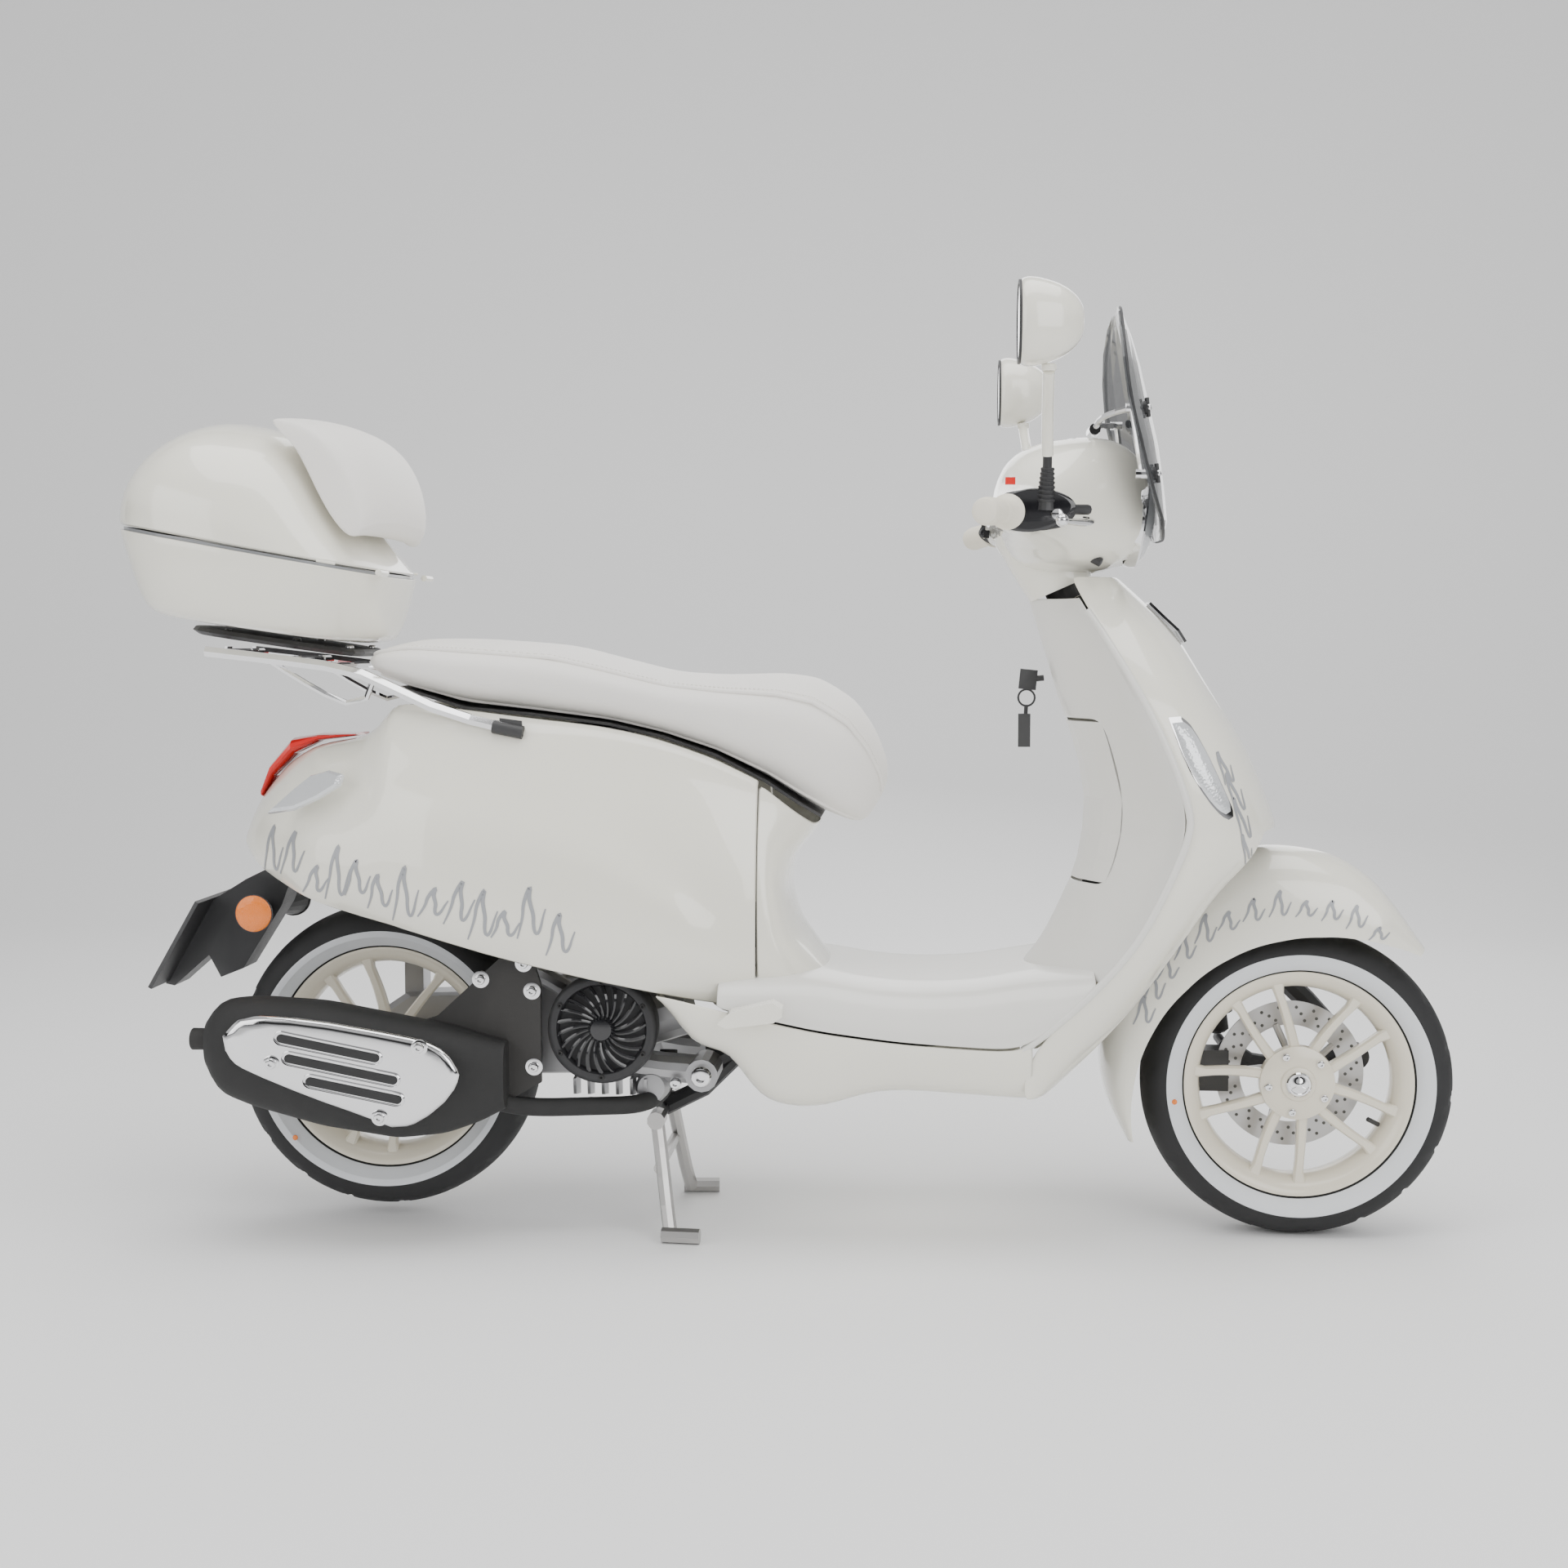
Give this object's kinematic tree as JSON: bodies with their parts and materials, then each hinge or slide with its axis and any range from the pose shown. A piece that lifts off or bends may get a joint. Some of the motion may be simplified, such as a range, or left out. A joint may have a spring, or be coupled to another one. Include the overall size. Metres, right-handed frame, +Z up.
{
  "type": "moped scooter",
  "caption": "Step-through moped scooter with whitewall wheels, padded seat, chrome carrier, top case with backrest, flyscreen and centre stand.",
  "frame": {"origin": "middle of the overall box, on the ground", "axes": "+X forward, +Y to the rider's left, +Z up"},
  "size_m": [1.9641, 0.8392, 1.358],
  "materials": {
    "black_gloss": "gloss black",
    "black_plastic": "matt black",
    "cast_alloy": "cast",
    "chrome": "polished",
    "clear_lens": "clear lens",
    "cream_rubber": "cream soft rubber",
    "exhaust_black": "heat-resistant matt black",
    "ivory_paint": "gloss ivory paint",
    "leatherette": "off-white leatherette",
    "mirror_white": "ivory shell",
    "red_lens": "red lens",
    "red_plastic": "red tab",
    "rubber": "black tread rubber with a white band",
    "smoke_screen": "smoked acrylic",
    "steel": "brushed",
    "wheel_cream": "cream wheel paint",
    "white_plastic": "satin greyish white"
  },
  "bodies": {
    "chassis": {"frame": "black_plastic", "apron": "ivory_paint", "horn_cover": "black_gloss", "knee_panel": "white_plastic", "floorboard": "white_plastic", "belly_fairing": "ivory_paint", "body_front_cover": "ivory_paint", "side_panel_right": "ivory_paint", "side_panel_left": "ivory_paint", "seat_bucket": "black_plastic", "tail_lamp": "red_lens", "rear_signal_right": "clear_lens", "rear_signal_left": "clear_lens", "front_signal_right": "clear_lens", "front_signal_left": "clear_lens", "plate_bracket": "black_plastic", "luggage_rack": "chrome", "case_base_plate": "black_plastic", "case_tray": "ivory_paint", "rear_shock": "black_plastic"},
    "case_top": {"case_lid": "ivory_paint", "backrest_pad": "leatherette"},
    "seat": {"seat_base": "black_plastic", "seat_cushion": "leatherette"},
    "glovebox": {"glovebox_door": "white_plastic"},
    "key": {"ignition_key": "black_plastic"},
    "key_ring": {"key_fobs": "black_plastic"},
    "stand": {"centre_stand": "steel"},
    "peg_right": {"passenger_peg_right": "ivory_paint"},
    "peg_left": {"passenger_peg_left": "ivory_paint"},
    "steering": {"steering_fork": "black_plastic", "headset_cover": "ivory_paint", "headlight": "clear_lens", "instrument_panel": "black_gloss", "front_fender": "ivory_paint", "windscreen": "smoke_screen", "screen_mount": "chrome", "left_grip": "cream_rubber", "switch_pod_right": "black_plastic", "switch_pod_left": "black_plastic", "front_shock": "steel"},
    "throttle": {"throttle_grip": "cream_rubber"},
    "stop_switch": {"kill_switch": "red_plastic"},
    "start_switch": {"starter_button": "black_gloss"},
    "horn_switch": {"horn_button": "black_gloss"},
    "turn_switch": {"signal_switch": "black_gloss"},
    "lever_right": {"brake_lever_right": "chrome"},
    "lever_left": {"brake_lever_left": "chrome"},
    "mirror_right": {"mirror_head_right": "mirror_white"},
    "mirror_left": {"mirror_head_left": "mirror_white"},
    "front_arm": {"front_link": "black_plastic"},
    "front_wheel": {"front_rim": "wheel_cream", "front_tyre": "rubber", "brake_disc": "steel"},
    "engine": {"engine_case": "cast_alloy", "fan_cover": "black_plastic", "muffler": "exhaust_black", "heat_shield": "chrome"},
    "rear_wheel": {"rear_rim": "wheel_cream", "rear_tyre": "rubber"}
  },
  "joints": [
    {"name": "steering_turn", "type": "hinge", "parent": "chassis", "child": "steering", "pos_m": [0.3955, 0, 0.97], "axis": [-0.4019, 0, 0.9157], "range_deg": [-30, 30]},
    {"name": "front_suspension", "type": "hinge", "parent": "steering", "child": "front_arm", "pos_m": [0.8595, 0, 0.2475], "axis": [0, 1, 0], "range_deg": [0, 22], "stiffness_Nm_per_rad": 260, "springref_deg": -17.19, "deforming": ["front_shock"]},
    {"name": "front_wheel_spin", "type": "hinge", "parent": "front_arm", "child": "front_wheel", "pos_m": [0.7545, 0, 0.2275], "axis": [0, 1, 0], "continuous": true},
    {"name": "rear_suspension", "type": "hinge", "parent": "chassis", "child": "engine", "pos_m": [-0.1185, 0, 0.246], "axis": [0, 1, 0], "range_deg": [0, 6], "stiffness_Nm_per_rad": 1500, "springref_deg": -6.88, "deforming": ["rear_shock"]},
    {"name": "rear_wheel_spin", "type": "hinge", "parent": "engine", "child": "rear_wheel", "pos_m": [-0.6105, 0, 0.249], "axis": [0, 1, 0], "continuous": true},
    {"name": "stand_fold", "type": "hinge", "parent": "chassis", "child": "stand", "pos_m": [-0.1905, 0, 0.17], "axis": [0, 1, 0], "range_deg": [0, 75]},
    {"name": "seat_lift", "type": "hinge", "parent": "chassis", "child": "seat", "pos_m": [0.0795, 0, 0.606], "axis": [0, 1, 0], "range_deg": [0, 65]},
    {"name": "case_lift", "type": "hinge", "parent": "chassis", "child": "case_top", "pos_m": [-0.5705, 0, 0.975], "axis": [0, 1, 0], "range_deg": [0, 60]},
    {"name": "glovebox_open", "type": "hinge", "parent": "chassis", "child": "glovebox", "pos_m": [0.4195, 0, 0.52], "axis": [0, -1, 0], "range_deg": [0, 30]},
    {"name": "key_turn", "type": "hinge", "parent": "chassis", "child": "key", "pos_m": [0.3815, 0.04, 0.823], "axis": [0.9946, 0, 0.1037], "range_deg": [0, 40]},
    {"name": "key_ring_hang", "type": "hinge", "parent": "key", "child": "key_ring", "pos_m": [0.3557, 0.0475, 0.8035], "axis": [0.9946, 0, 0.1037], "range_deg": [-45, 45]},
    {"name": "peg_right_fold", "type": "hinge", "parent": "chassis", "child": "peg_right", "pos_m": [-0.0405, -0.2115, 0.378], "axis": [-1, 0, 0], "range_deg": [0, 80]},
    {"name": "peg_left_fold", "type": "hinge", "parent": "chassis", "child": "peg_left", "pos_m": [-0.0405, 0.2115, 0.378], "axis": [1, 0, 0], "range_deg": [0, 80]},
    {"name": "throttle_twist", "type": "hinge", "parent": "steering", "child": "throttle", "pos_m": [0.3185, -0.236, 1.053], "axis": [-0.302, -0.9518, -0.053], "range_deg": [0, 65], "stiffness_Nm_per_rad": 0.3, "springref_deg": -17.19},
    {"name": "kill_switch_slide", "type": "slide", "parent": "steering", "child": "stop_switch", "axis": [0, -1, 0], "range_m": [0, 0.003]},
    {"name": "starter_press", "type": "slide", "parent": "steering", "child": "start_switch", "axis": [1, 0, 0], "range_m": [0, 0.0007], "stiffness_N_per_m": 400, "springref_m": -0.001},
    {"name": "horn_press", "type": "slide", "parent": "steering", "child": "horn_switch", "axis": [1, 0, 0], "range_m": [0, 0.0007], "stiffness_N_per_m": 400, "springref_m": -0.001},
    {"name": "signal_slide", "type": "slide", "parent": "steering", "child": "turn_switch", "axis": [0, 1, 0], "range_m": [0, 0.003]},
    {"name": "brake_pull_right", "type": "hinge", "parent": "steering", "child": "lever_right", "pos_m": [0.4235, -0.2065, 1.044], "axis": [0, 0, -1], "range_deg": [0, 14], "stiffness_Nm_per_rad": 3, "springref_deg": -11.46},
    {"name": "brake_pull_left", "type": "hinge", "parent": "steering", "child": "lever_left", "pos_m": [0.4235, 0.2065, 1.044], "axis": [0, 0, 1], "range_deg": [0, 14], "stiffness_Nm_per_rad": 3, "springref_deg": -11.46},
    {"name": "mirror_tilt_right", "type": "hinge", "parent": "steering", "child": "mirror_right", "pos_m": [0.3615, -0.355, 1.231], "axis": [0, 0, 1], "range_deg": [-15, 15]},
    {"name": "mirror_tilt_left", "type": "hinge", "parent": "steering", "child": "mirror_left", "pos_m": [0.3615, 0.355, 1.231], "axis": [0, 0, 1], "range_deg": [-15, 15]}
  ],
  "couplings": [
    {"joint": "key_ring_hang", "follows": "key_turn", "ratio": -1}
  ]
}
